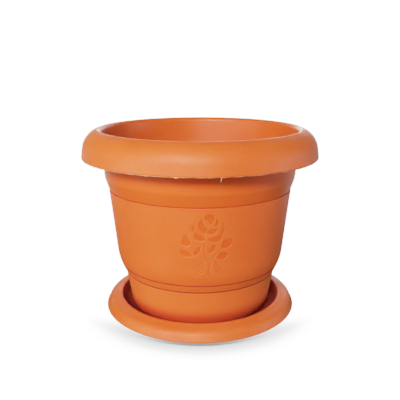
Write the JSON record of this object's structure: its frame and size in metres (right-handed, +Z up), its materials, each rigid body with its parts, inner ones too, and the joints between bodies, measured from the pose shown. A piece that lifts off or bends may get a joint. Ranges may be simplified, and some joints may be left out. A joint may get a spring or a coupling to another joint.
{
  "type": "flower pot with saucer",
  "caption": "Round tapered plastic flower pot with a rolled collar and a sunk rose, standing loose in a matching drip saucer.",
  "frame": {"origin": "on the floor under the middle of the saucer, on the pot's axis", "axes": "+Z up along the pot's axis, the rose faces -Y, +X to the right when facing the rose"},
  "size_m": [0.2408, 0.2408, 0.1905],
  "materials": {
    "pot_plastic": "satin, fine moulded grain, with glossier polished bands",
    "saucer_plastic": "satin, smooth moulded"
  },
  "bodies": {
    "saucer": {"saucer": "saucer_plastic"},
    "pot": {"pot": "pot_plastic"}
  },
  "joints": [
    {"name": "pot_lift", "type": "slide", "parent": "saucer", "child": "pot", "axis": [0, 0, 1], "range_m": [0, 0.15]}
  ]
}
